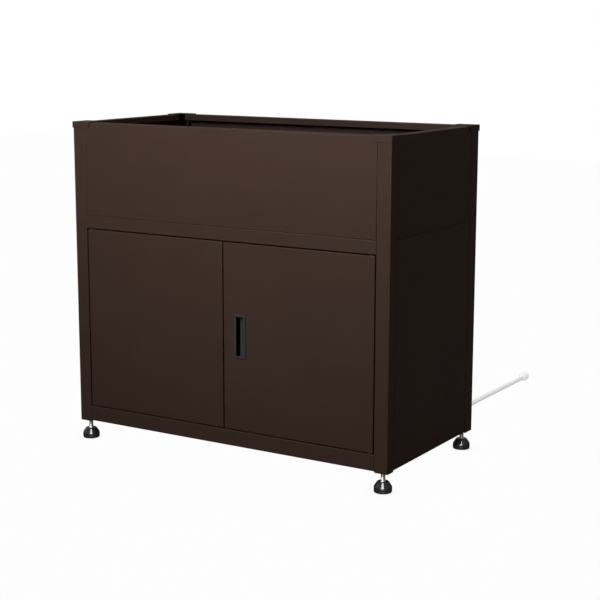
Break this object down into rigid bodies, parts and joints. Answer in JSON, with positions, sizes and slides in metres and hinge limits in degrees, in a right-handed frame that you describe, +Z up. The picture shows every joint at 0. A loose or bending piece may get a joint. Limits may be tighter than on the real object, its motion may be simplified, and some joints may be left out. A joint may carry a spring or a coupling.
{
  "type": "aquarium stand cabinet",
  "caption": "Sheet-steel cabinet that carries a tank in an open recessed top, with inset hinged doors, levelling feet and a drain pipe out of the back.",
  "frame": {"origin": "on the floor under the centre of the cabinet's 1000 x 500 mm footprint, midway between the four feet", "axes": "+X to the cabinet's right as seen from the doors, -Y the door side, +Y the rear where the drain pipe leaves, +Z up"},
  "size_m": [1, 1.0066, 0.902],
  "materials": {
    "powder_coat": "dark brown satin powder coat with a fine texture",
    "powder_coat_inner": "dark brown satin powder coat, inner parts",
    "zinc_steel": "bright zinc plate",
    "bright_steel": "bright plated thread",
    "foot_plastic": "glossy black moulding",
    "pull_plastic": "fine matte dark grey moulding",
    "pipe_plastic": "white milky plastic",
    "hose_plastic": "pale grey flexible hose",
    "fitting_plastic": "white moulding",
    "soft_rubber": "black rubber",
    "bush_nylon": "black nylon",
    "catch_plastic": "brown moulding with steel pole bars"
  },
  "bodies": {
    "cabinet": {"cap_front_left": "powder_coat", "cap_front_right": "powder_coat", "cap_nuts": "zinc_steel", "cap_rear_left": "powder_coat", "cap_rear_right": "powder_coat", "deck_stiffeners": "powder_coat_inner", "door_bumpers": "soft_rubber", "drain_fitting": "fitting_plastic", "drain_hose": "hose_plastic", "drain_nut": "fitting_plastic", "drain_pipe": "pipe_plastic", "floor_panel": "powder_coat_inner", "floor_stiffener": "powder_coat_inner", "foot_nuts": "zinc_steel", "foot_plates": "powder_coat_inner", "front_apron": "powder_coat", "hinge_pins": "zinc_steel", "hose_clamps": "zinc_steel", "magnetic_catches": "catch_plastic", "panel_lower_left": "powder_coat", "panel_lower_rear": "powder_coat", "panel_lower_right": "powder_coat", "panel_nuts": "zinc_steel", "panel_screws": "zinc_steel", "panel_upper_left": "powder_coat", "panel_upper_rear": "powder_coat", "panel_upper_right": "powder_coat", "pipe_end_socket": "pipe_plastic", "pipe_grommet": "soft_rubber", "post_front_left": "powder_coat", "post_front_right": "powder_coat", "post_rear_left": "powder_coat", "post_rear_right": "powder_coat", "rail_bottom_front": "powder_coat", "rail_bottom_left": "powder_coat", "rail_bottom_rear": "powder_coat", "rail_bottom_right": "powder_coat", "rail_mid_front": "powder_coat", "rail_mid_left": "powder_coat", "rail_mid_rear": "powder_coat", "rail_mid_right": "powder_coat", "tank_deck": "powder_coat_inner"},
    "left_door": {"door_left": "powder_coat", "door_stiffener_left": "powder_coat_inner", "hinge_bushes_left": "bush_nylon", "striker_left": "zinc_steel"},
    "right_door": {"door_right": "powder_coat", "door_stiffener_right": "powder_coat_inner", "hinge_bushes_right": "bush_nylon", "striker_right": "zinc_steel", "door_pull": "pull_plastic"},
    "front_left_foot": {"foot_stem_front_left": "bright_steel", "foot_base_front_left": "foot_plastic"},
    "front_right_foot": {"foot_stem_front_right": "bright_steel", "foot_base_front_right": "foot_plastic"},
    "rear_left_foot": {"foot_stem_rear_left": "bright_steel", "foot_base_rear_left": "foot_plastic"},
    "rear_right_foot": {"foot_stem_rear_right": "bright_steel", "foot_base_rear_right": "foot_plastic"}
  },
  "joints": [
    {"name": "left_door_hinge", "type": "hinge", "parent": "cabinet", "child": "left_door", "pos_m": [-0.443, -0.24, 0.353], "axis": [0, 0, -1], "range_deg": [0, 110]},
    {"name": "right_door_hinge", "type": "hinge", "parent": "cabinet", "child": "right_door", "pos_m": [0.443, -0.24, 0.353], "axis": [0, 0, 1], "range_deg": [0, 110]},
    {"name": "front_left_foot_height", "type": "slide", "parent": "cabinet", "child": "front_left_foot", "axis": [0, 0, 1], "range_m": [-0.02, 0.018], "stiffness_N_per_m": 70000},
    {"name": "front_right_foot_height", "type": "slide", "parent": "cabinet", "child": "front_right_foot", "axis": [0, 0, 1], "range_m": [-0.02, 0.018], "stiffness_N_per_m": 70000},
    {"name": "rear_left_foot_height", "type": "slide", "parent": "cabinet", "child": "rear_left_foot", "axis": [0, 0, 1], "range_m": [-0.02, 0.018], "stiffness_N_per_m": 70000},
    {"name": "rear_right_foot_height", "type": "slide", "parent": "cabinet", "child": "rear_right_foot", "axis": [0, 0, 1], "range_m": [-0.02, 0.018], "stiffness_N_per_m": 70000}
  ]
}
